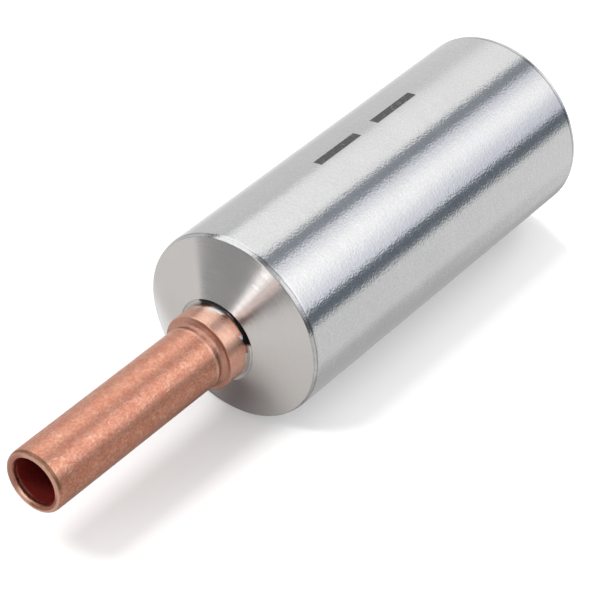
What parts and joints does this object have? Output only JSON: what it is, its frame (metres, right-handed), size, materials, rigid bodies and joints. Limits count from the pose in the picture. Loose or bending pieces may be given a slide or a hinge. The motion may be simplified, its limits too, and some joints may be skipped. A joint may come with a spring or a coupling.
{
  "type": "bimetallic link",
  "caption": "Straight bimetallic compression link: a thick aluminium barrel with a shallow cone and weld neck, joined end to end to a slim collared copper tube, each end open to a blind bore.",
  "frame": {"origin": "centre of the aluminium barrel's open end face, which the link stands on", "axes": "+Z along the common axis of both bores, from the open end of the aluminium barrel to the open end of the copper tube; the part is round, so X and Y have no feature of their own"},
  "size_m": [0.032, 0.032, 0.1177],
  "materials": {
    "turned_aluminium": "satin, turned",
    "annealed_copper": "satin, slightly mottled"
  },
  "bodies": {
    "root": {"aluminium_barrel": "turned_aluminium", "copper_tube": "annealed_copper"}
  },
  "joints": []
}
